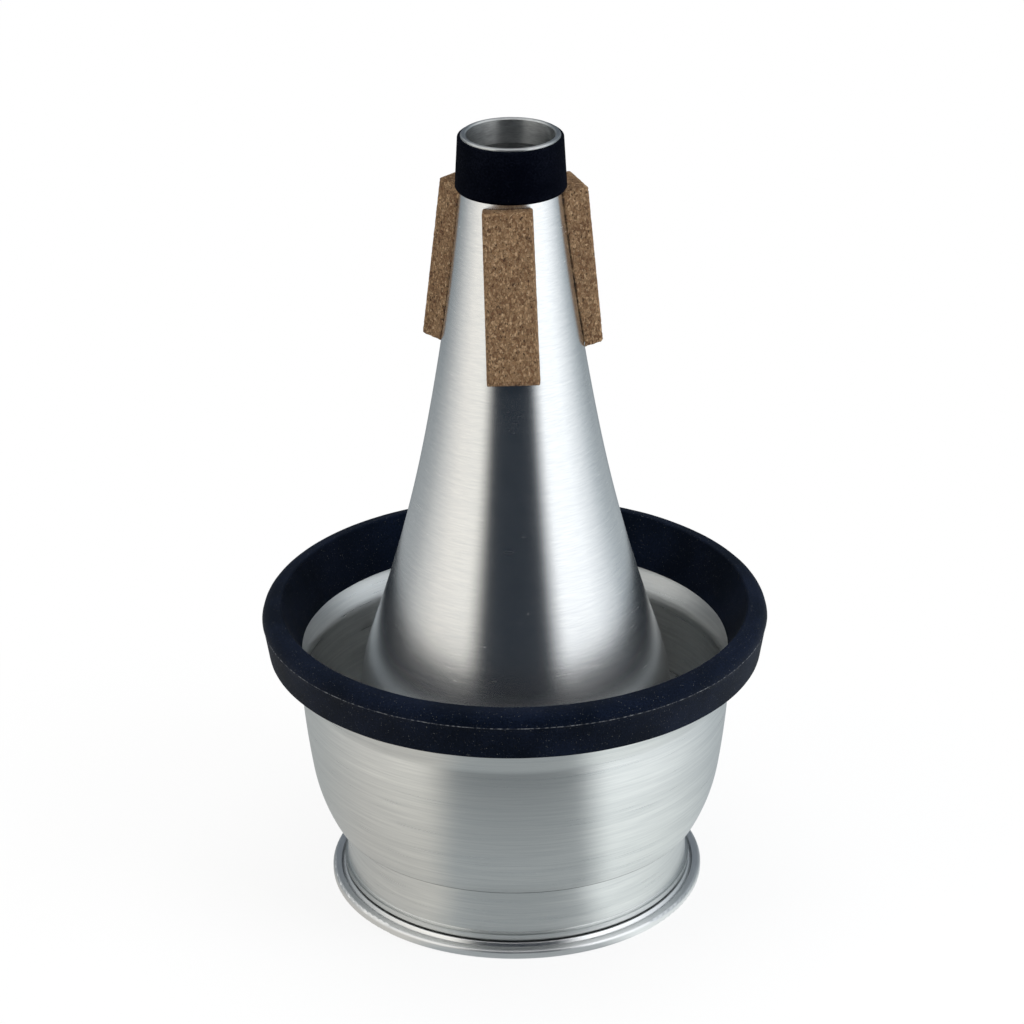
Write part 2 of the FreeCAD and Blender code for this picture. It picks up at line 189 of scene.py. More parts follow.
@dataclass(frozen=True)
class Finish:
    """What every finish has: a name, and a material that its own class builds."""

    name: str

    def start(self) -> tuple[bpy.types.Material, bpy.types.NodeTree]:
        """Makes the empty material and gives it with its tree."""
        material = bpy.data.materials.new(self.name)
        material.use_nodes = True
        material.node_tree.nodes.clear()
        return material, material.node_tree

    def close(self, tree: bpy.types.NodeTree, shader: bpy.types.Node) -> None:
        """Links the finished shader to the surface."""
        add_node(tree, "ShaderNodeOutputMaterial", {"Surface": shader.outputs[0]})


@dataclass(frozen=True)
class SpunAluminium(Finish):
    """Aluminium sheet spun on a lathe and rubbed down while it turned. Its fine rings blur
    what it mirrors up and down the wall, so lamps show as tall soft bands."""

    dark: str = "#DCDEE0"
    light: str = "#EAEBEB"
    roughness: float = 0.265
    spread: float = 0.01
    stretch: float = 0.7
    line_pitch: float = 0.3  # real rings are near 0.1 mm, drawn wider so that they show
    line_run: float = 7.0
    streak_pitch: float = 0.8
    streak_run: float = 30.0
    streaks: float = 0.35
    line_depth: float = 0.0004
    # The crease height and its colour paint a thin dark band: painted shade where the bend under the cup's floor
    # faces down.
    crease: float = -10.0
    crease_shade: str = "#55575B"

    def build(self) -> bpy.types.Material:
        """Builds the material."""
        material, tree = self.start()
        at = round_place(tree)
        lines = turned_noise(tree, at, self.line_pitch, self.line_run, 2.0)
        streaks = turned_noise(tree, at, self.streak_pitch, self.streak_run, 3.0)
        both = add_node(tree, "ShaderNodeMix", {0: self.streaks, 2: lines, 3: streaks}, data_type="FLOAT").outputs[0]
        rough = add_node(
            tree,
            "ShaderNodeMapRange",
            {"Value": both, 1: 0.3, 2: 0.7, 3: self.roughness - self.spread, 4: self.roughness + self.spread},
        )
        shade = add_node(tree, "ShaderNodeMapRange", {"Value": both, 1: 0.3, 2: 0.7})
        tone = add_node(
            tree,
            "ShaderNodeMix",
            {0: shade.outputs[0], 6: linear(self.dark), 7: linear(self.light)},
            data_type="RGBA",
        )
        # Painted shade: a thin band at the crease height is mixed towards the crease colour.
        off = add_node(tree, "ShaderNodeMath", {0: at.height, 1: self.crease * MM}, operation="SUBTRACT").outputs[0]
        away = add_node(tree, "ShaderNodeMath", {0: off}, operation="ABSOLUTE").outputs[0]
        near = add_node(tree, "ShaderNodeMapRange", {"Value": away, 1: 0.25 * MM, 2: 0.45 * MM, 3: 1.0, 4: 0.0}).outputs[0]
        crease_shaded = {0: near, 6: tone.outputs[2], 7: linear(self.crease_shade)}
        skin = add_node(tree, "ShaderNodeMix", crease_shaded, data_type="RGBA")
        relief = add_node(
            tree, "ShaderNodeBump", {"Strength": 1.0, "Distance": self.line_depth * MM, "Height": both}
        )
        shader = add_node(
            tree,
            "ShaderNodeBsdfPrincipled",
            {
                "Base Color": skin.outputs[2],
                "Metallic": 1.0,
                "Roughness": rough.outputs[0],
                "Anisotropic": self.stretch,
                "Anisotropic Rotation": 0.25,
                "Tangent": at.along,
                "Normal": relief.outputs[0],
            },
        )
        self.close(tree, shader)
        return material


@dataclass(frozen=True)
class MouldedRubber(Finish):
    """Black rubber from a mould: nearly matt, with a faint bloom and a fine sanded grain."""

    base: str = "#02060F"
    bloom: str = "#0B1221"
    roughness: float = 0.62
    grain: float = 0.35
    grain_depth: float = 0.05
    speck: str = "#5A5B58"
    specks: float = 0.0
    parting: float = -10.0
    dust: str = "#6E7072"
    shine: float = 0.12
    sheen: str = "#A9C2F2"

    def build(self) -> bpy.types.Material:
        """Builds the material."""
        material, tree = self.start()
        place = add_node(tree, "ShaderNodeTexCoord").outputs["Object"]
        grain = add_node(
            tree, "ShaderNodeTexNoise", {"Vector": place, "Scale": 1 / (self.grain * MM), "Detail": 3.0}
        ).outputs["Fac"]
        cloud = add_node(
            tree, "ShaderNodeTexNoise", {"Vector": place, "Scale": 1 / (14 * MM), "Detail": 4.0}
        ).outputs["Fac"]
        haze = add_node(tree, "ShaderNodeMath", {0: grain, 1: cloud}, operation="MULTIPLY")
        share = add_node(tree, "ShaderNodeMapRange", {"Value": haze.outputs[0], 1: 0.18, 2: 0.36})
        tone = add_node(
            tree,
            "ShaderNodeMix",
            {0: share.outputs[0], 6: linear(self.base), 7: linear(self.bloom)},
            data_type="RGBA",
        )
        dots = add_node(
            tree, "ShaderNodeTexNoise", {"Vector": place, "Scale": 1 / (0.3 * MM), "Detail": 1.0}
        ).outputs["Fac"]
        edge = 0.8 - self.specks
        dotted = add_node(tree, "ShaderNodeMapRange", {"Value": dots, 1: edge, 2: edge + 0.06})
        final = add_node(
            tree,
            "ShaderNodeMix",
            {0: dotted.outputs[0], 6: tone.outputs[2], 7: linear(self.speck)},
            data_type="RGBA",
        )
        level = add_node(tree, "ShaderNodeSeparateXYZ", {0: place}).outputs["Z"]
        off = add_node(tree, "ShaderNodeMath", {0: level, 1: self.parting * MM}, operation="SUBTRACT").outputs[0]
        away = add_node(tree, "ShaderNodeMath", {0: off}, operation="ABSOLUTE").outputs[0]
        line = add_node(
            tree, "ShaderNodeMapRange", {"Value": away, 1: 0.05 * MM, 2: 0.16 * MM, 3: 1.0, 4: 0.0}
        ).outputs[0]
        crumbs = add_node(
            tree, "ShaderNodeTexNoise", {"Vector": place, "Scale": 1 / (0.8 * MM), "Detail": 4.0}
        ).outputs["Fac"]
        dusty = add_node(tree, "ShaderNodeMapRange", {"Value": crumbs, 1: 0.44, 2: 0.64, 3: 0.08, 4: 1.0})
        broken = add_node(tree, "ShaderNodeMath", {0: line, 1: dusty.outputs[0]}, operation="MULTIPLY").outputs[0]
        flat = add_node(tree, "ShaderNodeVectorMath", {0: place, 1: (1, 1, 0)}, operation="MULTIPLY").outputs[0]
        reach = add_node(tree, "ShaderNodeVectorMath", {0: flat}, operation="LENGTH").outputs["Value"]
        outer = add_node(tree, "ShaderNodeMath", {0: reach, 1: 60 * MM}, operation="GREATER_THAN").outputs[0]
        dust = add_node(tree, "ShaderNodeMath", {0: broken, 1: outer}, operation="MULTIPLY").outputs[0]
        lined = {0: dust, 6: final.outputs[2], 7: linear(self.dust)}
        skin = add_node(tree, "ShaderNodeMix", lined, data_type="RGBA")
        relief = add_node(
            tree, "ShaderNodeBump", {"Strength": 1.0, "Distance": self.grain_depth * MM, "Height": grain}
        )
        shader = add_node(
            tree,
            "ShaderNodeBsdfPrincipled",
            {
                "Base Color": skin.outputs[2],
                "Roughness": self.roughness,
                "Specular IOR Level": self.shine,
                "Specular Tint": linear(self.sheen),
                "Normal": relief.outputs[0],
            },
        )
        self.close(tree, shader)
        return material


@dataclass(frozen=True)
class PressedCork(Finish):
    """Cork granules pressed and glued into a block, then cut: brown grains with dark gaps
    and pale cut cells, matt all over."""

    granule: float = 0.46
    gap: str = "#33241A"
    seat_shade: str = "#1E150F"
    # The seat colour is painted shade along the cork's edge where it meets the wall.

    def build(self) -> bpy.types.Material:
        """Builds the material."""
        material, tree = self.start()
        place = add_node(tree, "ShaderNodeTexCoord").outputs["Object"]
        stretched = add_node(
            tree, "ShaderNodeVectorMath", {0: place, 1: (1.0, 1.0, 0.62)}, operation="MULTIPLY"
        ).outputs[0]
        wobble = add_node(
            tree, "ShaderNodeTexNoise", {"Vector": stretched, "Scale": 1 / (0.8 * MM), "Detail": 2.0}
        )
        shifted = add_node(
            tree,
            "ShaderNodeVectorMath",
            {0: wobble.outputs["Color"], 1: (0.6 * MM, 0.6 * MM, 0.6 * MM), 2: stretched},
            operation="MULTIPLY_ADD",
        ).outputs[0]
        cells = add_node(
            tree, "ShaderNodeTexVoronoi", {"Vector": shifted, "Scale": 1 / (self.granule * MM)}
        )
        chance = add_node(tree, "ShaderNodeSeparateColor", {0: cells.outputs["Color"]}).outputs[0]
        browns = add_node(tree, "ShaderNodeValToRGB", {0: chance})
        set_stops(
            browns.color_ramp,
            [(0.0, "#674A33"), (0.25, "#7E6145"), (0.6, "#8C6F51"), (0.85, "#997C5C"), (1.0, "#AB8E6D")],
        )
        fine = add_node(
            tree, "ShaderNodeTexNoise", {"Vector": stretched, "Scale": 1 / (0.35 * MM), "Detail": 3.0}
        ).outputs["Fac"]
        grit = add_node(tree, "ShaderNodeMapRange", {"Value": fine, 1: 0.3, 2: 0.7, 3: 0.72, 4: 1.25})
        toned = add_node(
            tree,
            "ShaderNodeVectorMath",
            {0: browns.outputs[0], "Scale": grit.outputs[0]},
            operation="SCALE",
        ).outputs[0]
        borders = add_node(
            tree,
            "ShaderNodeTexVoronoi",
            {"Vector": shifted, "Scale": 1 / (self.granule * MM)},
            feature="DISTANCE_TO_EDGE",
        ).outputs["Distance"]
        seams = add_node(tree, "ShaderNodeMapRange", {"Value": borders, 1: 0.015, 2: 0.09, 3: 0.55, 4: 0.0})
        pits = add_node(
            tree, "ShaderNodeTexNoise", {"Vector": stretched, "Scale": 1 / (0.5 * MM), "Detail": 1.0}
        ).outputs["Fac"]
        holes = add_node(tree, "ShaderNodeMapRange", {"Value": pits, 1: 0.64, 2: 0.71, 3: 0.0, 4: 0.9})
        dark = add_node(
            tree, "ShaderNodeMath", {0: seams.outputs[0], 1: holes.outputs[0]}, operation="MAXIMUM"
        )
        body = add_node(
            tree,
            "ShaderNodeMix",
            {0: dark.outputs[0], 6: toned, 7: linear(self.gap)},
            data_type="RGBA",
        ).outputs[2]
        # Painted shade: near the wall the cork is mixed, in patches, towards the seat colour.
        seat = add_node(tree, "ShaderNodeAttribute", attribute_name="seat_shade_line").outputs["Fac"]
        spread = add_node(tree, "ShaderNodeTexNoise", {"Vector": place, "Scale": 1 / (1.6 * MM)}).outputs["Fac"]
        patches = add_node(tree, "ShaderNodeMapRange", {"Value": spread, 1: 0.4, 2: 0.6, 4: 0.9})
        seat_shade_share = add_node(tree, "ShaderNodeMath", {0: seat, 1: patches.outputs[0]}, operation="MULTIPLY")
        glued = {0: seat_shade_share.outputs[0], 6: body, 7: linear(self.seat_shade)}
        tone = add_node(tree, "ShaderNodeMix", glued, data_type="RGBA")
        depth = add_node(tree, "ShaderNodeMath", {0: fine, 1: dark.outputs[0]}, operation="SUBTRACT")
        relief = add_node(
            tree, "ShaderNodeBump", {"Strength": 1.0, "Distance": 0.12 * MM, "Height": depth.outputs[0]}
        )
        shader = add_node(
            tree,
            "ShaderNodeBsdfPrincipled",
            {
                "Base Color": tone.outputs[2],
                "Roughness": 0.88,
                "Specular IOR Level": 0.25,
                "Normal": relief.outputs[0],
            },
        )
        self.close(tree, shader)
        return material


@dataclass(frozen=True)
class PressedFelt(Finish):
    """Dense wool felt: charcoal fibres pressed flat, with a soft nap at the edge of the light."""

    base: str = "#2B2B2D"
    fibre: str = "#4B4A4A"

    def build(self) -> bpy.types.Material:
        """Builds the material."""
        material, tree = self.start()
        place = add_node(tree, "ShaderNodeTexCoord").outputs["Object"]
        fibres = add_node(
            tree,
            "ShaderNodeTexNoise",
            {"Vector": place, "Scale": 1 / (0.4 * MM), "Detail": 5.0, "Distortion": 2.5},
        ).outputs["Fac"]
        share = add_node(tree, "ShaderNodeMapRange", {"Value": fibres, 1: 0.35, 2: 0.7})
        tone = add_node(
            tree,
            "ShaderNodeMix",
            {0: share.outputs[0], 6: linear(self.base), 7: linear(self.fibre)},
            data_type="RGBA",
        )
        relief = add_node(
            tree, "ShaderNodeBump", {"Strength": 1.0, "Distance": 0.15 * MM, "Height": fibres}
        )
        shader = add_node(
            tree,
            "ShaderNodeBsdfPrincipled",
            {
                "Base Color": tone.outputs[2],
                "Roughness": 0.95,
                "Sheen Weight": 0.35,
                "Sheen Roughness": 0.5,
                "Normal": relief.outputs[0],
            },
        )
        self.close(tree, shader)
        return material


@dataclass
class Stop:
    """A point of a wall as it goes up, with the wall's lean off the axis, outward as it rises."""

    radius: float
    height: float
    lean: float = 0.0

    def inward(self, depth: float) -> "Stop":
        """The same point on a face at that depth under this one."""
        angle = math.radians(self.lean)
        return Stop(self.radius - depth * math.cos(angle), self.height + depth * math.sin(angle), self.lean)


@dataclass
class Wall:
    """The outside of a spun wall, drawn upward as straights and bends, in millimetres and degrees."""

    stops: list[Stop]
    spacing: float = 1.3
    most_turn: float = 4.0

    def straight(self, rise: float) -> "Wall":
        """Goes on in a straight line by that height."""
        last = self.stops[-1]
        slope = math.tan(math.radians(last.lean))
        parts = max(1, math.ceil(abs(rise) / self.spacing))
        for i in range(1, parts + 1):
            up = rise * i / parts
            self.stops.append(Stop(last.radius + up * slope, last.height + up, last.lean))
        return self

    def bend(self, bow: float, lean: float) -> "Wall":
        """Goes on round an arc until the wall has that lean.

        Args:
            bow: The arc's radius.
            lean: The wall's lean at its end.

        Returns:
            The same wall.
        """
        last = self.stops[-1]
        sign = 1 if lean > last.lean else -1
        turn = abs(lean - last.lean)
        length = bow * math.radians(turn)
        parts = max(2, math.ceil(length / self.spacing), math.ceil(turn / self.most_turn))
        start = math.radians(last.lean)
        for i in range(1, parts + 1):
            here = math.radians(last.lean + sign * turn * i / parts)
            out = sign * bow * (math.cos(start) - math.cos(here))
            up = sign * bow * (math.sin(here) - math.sin(start))
            self.stops.append(Stop(last.radius + out, last.height + up, math.degrees(here)))
        return self

    def outside(self) -> list[tuple[float, float]]:
        """The wall's outside as radius and height, going up."""
        return [(s.radius, s.height) for s in self.stops]

    def inside(self, sheet: float) -> list[tuple[float, float]]:
        """The wall's inside under that sheet, going down."""
        return [(s.radius, s.height) for s in (stop.inward(sheet) for stop in reversed(self.stops))]


@dataclass
class Outline:
    """A closed section as corners of radius, height and rounding, in millimetres."""

    corners: list[tuple[float, float, float]] = field(default_factory=list)
    arc_step: float = 15.0
    margin: float = 0.12

    def corner(self, radius: float, height: float, rounding: float = 0.0) -> "Outline":
        """Adds one corner."""
        self.corners.append((radius, height, rounding))
        return self

    def run(self, points: list[tuple[float, float]]) -> "Outline":
        """Adds the points of a wall."""
        self.corners += [(radius, height, 0.0) for radius, height in points]
        return self

    def _rounded(self, before: Vector, here: Vector, after: Vector, rounding: float) -> list[Vector]:
        """The arc that takes a corner's place, with a point just before and after it."""
        back, on = (before - here).normalized(), (after - here).normalized()
        half = back.angle(on) / 2
        cut = rounding / math.tan(half)
        middle = here + (back + on).normalized() * (rounding / math.sin(half))
        turn = math.pi - 2 * half
        parts = max(2, math.ceil(math.degrees(turn) / self.arc_step))
        first = here + back * cut - middle
        sign = 1 if first.x * on.y - first.y * on.x > 0 else -1
        points = []
        if (before - here).length > cut + 3 * self.margin:
            points.append(here + back * (cut + self.margin))
        for i in range(parts + 1):
            angle = sign * turn * i / parts
            cosine, sine = math.cos(angle), math.sin(angle)
            x, y = first.x * cosine - first.y * sine, first.x * sine + first.y * cosine
            points.append(middle + Vector((x, y)))
        if (after - here).length > cut + 3 * self.margin:
            points.append(here + on * (cut + self.margin))
        return points

    def points(self) -> list[Vector]:
        """The closed loop in metres, clockwise in radius and height, so that a turn faces out."""
        flat = [Vector((r, h)) for r, h, _ in self.corners]
        count = len(flat)
        loop: list[Vector] = []
        for i, (_, _, rounding) in enumerate(self.corners):
            before, here, after = flat[i - 1], flat[i], flat[(i + 1) % count]
            if rounding > 0:
                loop += self._rounded(before, here, after, rounding)
            else:
                loop.append(here)
        area = sum(a.x * b.y - b.x * a.y for a, b in zip(loop, loop[1:] + loop[:1]))
        if area > 0:
            loop.reverse()
        return [point * MM for point in loop]


class Lathe:
    """Geometry Nodes tree that turns a section once round the axis."""

    def __init__(self) -> None:
        """Builds the tree."""
        self.tree = bpy.data.node_groups.new("turned_piece", "GeometryNodeTree")
        face = self.tree.interface
        face.new_socket("Section", in_out="INPUT", socket_type="NodeSocketGeometry")
        self.steps = face.new_socket("Turn Steps", in_out="INPUT", socket_type="NodeSocketInt")
        self.waver = face.new_socket("Waver", in_out="INPUT", socket_type="NodeSocketFloat")
        self.waver_size = face.new_socket("Waver Size", in_out="INPUT", socket_type="NodeSocketFloat")
        self.sharp = face.new_socket("Sharp Angle", in_out="INPUT", socket_type="NodeSocketFloat")
        self.paint = face.new_socket("Material", in_out="INPUT", socket_type="NodeSocketMaterial")
        face.new_socket("Piece", in_out="OUTPUT", socket_type="NodeSocketGeometry")
        self._fill()

    def _fill(self) -> None:
        """Adds the nodes: a grid of section points and turn steps, wrapped round the axis."""
        tree = self.tree
        given = add_node(tree, "NodeGroupInput").outputs
        count = add_node(tree, "GeometryNodeAttributeDomainSize", {0: given["Section"]}).outputs[0]
        rows = add_node(tree, "ShaderNodeMath", {0: count, 1: 1.0}, operation="ADD").outputs[0]
        columns = add_node(tree, "ShaderNodeMath", {0: given["Turn Steps"], 1: 1.0}, operation="ADD").outputs[0]
        grid = add_node(tree, "GeometryNodeMeshGrid", {"Vertices X": rows, "Vertices Y": columns})
        index = add_node(tree, "GeometryNodeInputIndex").outputs[0]
        share = add_node(tree, "ShaderNodeMath", {0: index, 1: columns}, operation="DIVIDE").outputs[0]
        row = add_node(tree, "ShaderNodeMath", {0: share}, operation="FLOOR").outputs[0]
        wrapped = add_node(tree, "ShaderNodeMath", {0: row, 1: count}, operation="MODULO").outputs[0]
        column = add_node(tree, "ShaderNodeMath", {0: index, 1: columns}, operation="MODULO").outputs[0]
        turn = add_node(
            tree, "ShaderNodeMath", {0: column, 1: given["Turn Steps"]}, operation="DIVIDE"
        ).outputs[0]
        angle = add_node(tree, "ShaderNodeMath", {0: turn, 1: math.tau}, operation="MULTIPLY").outputs[0]
        position = add_node(tree, "GeometryNodeInputPosition").outputs[0]
        point = add_node(
            tree,
            "GeometryNodeSampleIndex",
            {"Geometry": given["Section"], "Value": position, "Index": wrapped},
            data_type="FLOAT_VECTOR",
        ).outputs["Value"]
        spun = add_node(
            tree,
            "ShaderNodeVectorRotate",
            {"Vector": point, "Axis": (0, 0, 1), "Angle": angle},
        ).outputs[0]
        placed = add_node(
            tree, "GeometryNodeSetPosition", {"Geometry": grid.outputs["Mesh"], "Position": spun}
        ).outputs[0]
        closed = add_node(
            tree, "GeometryNodeMergeByDistance", {"Geometry": placed, "Distance": 0.002 * MM}
        ).outputs[0]
        waves = add_node(
            tree,
            "ShaderNodeTexNoise",
            {"Scale": given["Waver Size"], "Detail": 2.0},
        ).outputs["Fac"]
        swell = add_node(tree, "ShaderNodeMath", {0: waves, 1: 0.5}, operation="SUBTRACT").outputs[0]
        height = add_node(
            tree, "ShaderNodeMath", {0: swell, 1: given["Waver"]}, operation="MULTIPLY"
        ).outputs[0]
        normal = add_node(tree, "GeometryNodeInputNormal").outputs[0]
        offset = add_node(
            tree, "ShaderNodeVectorMath", {0: normal, "Scale": height}, operation="SCALE"
        ).outputs[0]
        wavy = add_node(tree, "GeometryNodeSetPosition", {"Geometry": closed, "Offset": offset}).outputs[0]
        smooth = add_node(tree, "GeometryNodeSetShadeSmooth", {"Geometry": wavy}, domain="FACE").outputs[0]
        fold = add_node(tree, "GeometryNodeInputMeshEdgeAngle").outputs[0]
        soft = add_node(
            tree, "FunctionNodeCompare", {0: fold, 1: given["Sharp Angle"]}, operation="LESS_THAN"
        ).outputs[0]
        edged = add_node(
            tree, "GeometryNodeSetShadeSmooth", {"Geometry": smooth, "Shade Smooth": soft}, domain="EDGE"
        ).outputs[0]
        real = add_node(tree, "GeometryNodeRealizeInstances", {0: edged}).outputs[0]
        painted = add_node(
            tree, "GeometryNodeSetMaterial", {"Geometry": real, "Material": given["Material"]}
        ).outputs[0]
        add_node(tree, "NodeGroupOutput", {0: painted})

    def turn(
        self,
        name: str,
        outline: Outline,
        material: bpy.types.Material,
        steps: int = 256,
        waver: float = 0.0,
        waver_size: float = 12.0,
    ) -> bpy.types.Object:
        """Turns a section into a finished mesh object.

        Args:
            name: The piece's name.
            outline: Its section.
            material: Its finish.
            steps: Parts of one turn.
            waver: Height of an unevenness in millimetres.
            waver_size: Width of that unevenness in millimetres.

        Returns:
            The piece, in place, with no modifier left.
        """
        loop = outline.points()
        mesh = bpy.data.meshes.new(f"{name}_section")
        edges = [(i, (i + 1) % len(loop)) for i in range(len(loop))]
        mesh.from_pydata([(p.x, 0.0, p.y) for p in loop], edges, [])
        values = {
            self.steps: steps,
            self.waver: waver * MM,
            self.waver_size: 1 / (waver_size * MM),
            self.sharp: math.radians(32),
            self.paint: material,
        }
        return run_tree(name, mesh, self.tree, values)


def run_tree(
    name: str,
    mesh: bpy.types.Mesh,
    tree: bpy.types.NodeTree,
    values: dict[bpy.types.NodeTreeInterfaceSocket, object],
) -> bpy.types.Object:
    """Runs a Geometry Nodes tree on a mesh and keeps the result as a plain mesh object.

    Args:
        name: The new object's name.
        mesh: What the tree starts from.
        tree: The tree.
        values: A value for each of its inputs.

    Returns:
        The finished object, at the origin.
    """
    source = bpy.data.objects.new(f"{name}_source", mesh)
    bpy.context.scene.collection.objects.link(source)
    modifier = source.modifiers.new("tree", "NODES")
    modifier.node_group = tree
    for socket, value in values.items():
        modifier[socket.identifier] = value
    graph = bpy.context.evaluated_depsgraph_get()
    graph.update()
    made = bpy.data.meshes.new_from_object(source.evaluated_get(graph))
    made.name = name
    bpy.data.objects.remove(source)
    piece = bpy.data.objects.new(name, made)
    bpy.context.scene.collection.objects.link(piece)
    return piece


def fit(piece: bpy.types.Object, body: Body, slot: Slot, *nodes: str) -> bpy.types.Object:
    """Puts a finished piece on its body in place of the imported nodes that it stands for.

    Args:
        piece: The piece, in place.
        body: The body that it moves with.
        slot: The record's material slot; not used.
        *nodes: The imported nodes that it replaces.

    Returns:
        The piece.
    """
    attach(piece, body.value)
    if nodes:
        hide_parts(*nodes)
    LOG.info("%s: %d faces on %s", piece.name, len(piece.data.polygons), body.value)
    return piece


def dress(node: bpy.types.Object, material: bpy.types.Material) -> None:
    """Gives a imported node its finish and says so."""
    for place in node.material_slots:
        place.material = material
    LOG.info("%s: packed node dressed in %s", node.name, material.name)


@dataclass
class FlaredBody:
    """The spun body with its neck sleeve, throat ring and base cap, in millimetres and degrees."""

    lathe: Lathe
    nodes: dict[str, bpy.types.Object]
    top: float = 194.0
    neck_top: float = 193.55
    neck_radius: float = 11.7
    neck_length: float = 10.5
    neck_lean: float = -5.5
    upper_bow: float = 700.0
    middle_lean: float = -10.8
    wide_lean: float = -18.1
    cone_height: float = 7.3
    shoulder_bow: float = 62.0
    foot_radius: float = 38.4
    sheet: float = 0.8
    flange_height: float = 3.0
    slope_head: float = 43.25
    slope_foot: float = 44.1
    flange_edge: float = 45.35
    bend_shift: float = 0.45
    seam_height: float = 1.6
    cap_wall: float = 0.8
    sleeve_foot: float = 180.9
    sleeve_wall: float = 0.7
    sleeve_lean: float = 3.2
    glue_gap: float = 0.05

    def lower_bow(self) -> float:
        """Radius of the lower sweep, which joins the two widths."""
        cosine = {a: math.cos(math.radians(a)) for a in (self.neck_lean, self.middle_lean, self.wide_lean)}
        middle = self.neck_radius + self.upper_bow * (cosine[self.neck_lean] - cosine[self.middle_lean])
        bent = self.foot_radius - self.shoulder_bow * (1 - cosine[self.wide_lean])
        wide = bent + self.cone_height * math.tan(math.radians(self.wide_lean))
        return (wide - middle) / (cosine[self.middle_lean] - cosine[self.wide_lean])

    def flare(self) -> Wall:
        """The outer wall from the straight foot's upper end to the neck."""
        wall = Wall([Stop(self.foot_radius, 0.0)])
        wall.bend(self.shoulder_bow, self.wide_lean).straight(self.cone_height)
        wall.bend(self.lower_bow(), self.middle_lean).bend(self.upper_bow, self.neck_lean)
        shift = self.top - self.neck_length - wall.stops[-1].height
        for stop in wall.stops:
            stop.height += shift
        wall.stops[-1].lean = self.neck_lean / 2
        return wall

    def wall_radius(self, height: np.ndarray) -> np.ndarray:
        """Radius of the flare's outside at each height, in metres."""
        points = np.array(self.flare().outside() + [(self.neck_radius, self.neck_top)]) * MM
        return np.interp(height, points[:, 1], points[:, 0])

    def shell(self, finish: Finish) -> bpy.types.Object:
        """Neck, flare, straight foot and the flange in the base's fold, spun from one sheet."""
        flare = self.flare()
        foot, sheet, neck = self.foot_radius, self.sheet, self.neck_radius
        underside = self.flange_height - sheet
        outline = Outline().corner(foot, self.flange_height, sheet)
        outline.run(Wall([Stop(foot, 5.0)], spacing=4.0).straight(flare.stops[0].height - 6.0).outside())
        outline.run(flare.outside()).corner(neck, self.neck_top).corner(neck - sheet, self.neck_top)
        outline.run(flare.inside(sheet)).corner(foot - sheet, underside)
        outline.corner(self.slope_head - self.bend_shift, underside)
        outline.corner(self.slope_foot - self.bend_shift, self.cap_wall)
        outline.corner(self.flange_edge, self.cap_wall).corner(self.flange_edge, self.seam_height)
        outline.corner(self.slope_foot, self.seam_height, 0.3)
        outline.corner(self.slope_head, self.flange_height, 0.3)
        piece = self.lathe.turn("flared_body", outline, finish.build(), steps=288)
        return fit(piece, Body.MUTE, Slot.ALUMINIUM, "mute_body")

    def sleeve(self, finish: Finish) -> bpy.types.Object:
        """Rubber sleeve stretched over the neck."""
        top = self.neck_top - self.glue_gap
        outside = self.neck_radius + self.sleeve_wall
        foot = outside + (top - self.sleeve_foot) * math.tan(math.radians(self.sleeve_lean))
        seat = float(self.wall_radius(np.array([self.sleeve_foot * MM]))[0]) / MM + self.glue_gap
        outline = Outline().corner(foot, self.sleeve_foot, 0.35).corner(outside, top, 0.4)
        outline.corner(self.neck_radius + self.glue_gap, top)
        outline.corner(self.neck_radius + self.glue_gap, self.top - self.neck_length)
        outline.corner(seat, self.sleeve_foot)
        piece = self.lathe.turn("neck_sleeve", outline, finish.build(), steps=160, waver=0.08, waver_size=4.0)
        return fit(piece, Body.MUTE, Slot.SLEEVE, "tip_sleeve")

    def build(self) -> None:
        """Builds and dresses the body's pieces."""
        self.shell(SpunAluminium("aluminium_spun_body"))
        self.sleeve(MouldedRubber("rubber_moulded_sleeve", base="#010207", bloom="#0B0D16", roughness=0.9,
                                  grain=0.42, grain_depth=0.3, shine=0.05))
        ring = SpunAluminium("aluminium_turned_ferrule", dark="#A9ACAE", light="#CDD0D0", roughness=0.34,
                             stretch=0.93, spread=0.05)
        dress(self.nodes["throat_ring"], ring.build())
        cap = SpunAluminium("aluminium_pressed_cap", roughness=0.34, stretch=0.75, spread=0.05)
        dress(self.nodes["base_cap"], cap.build())


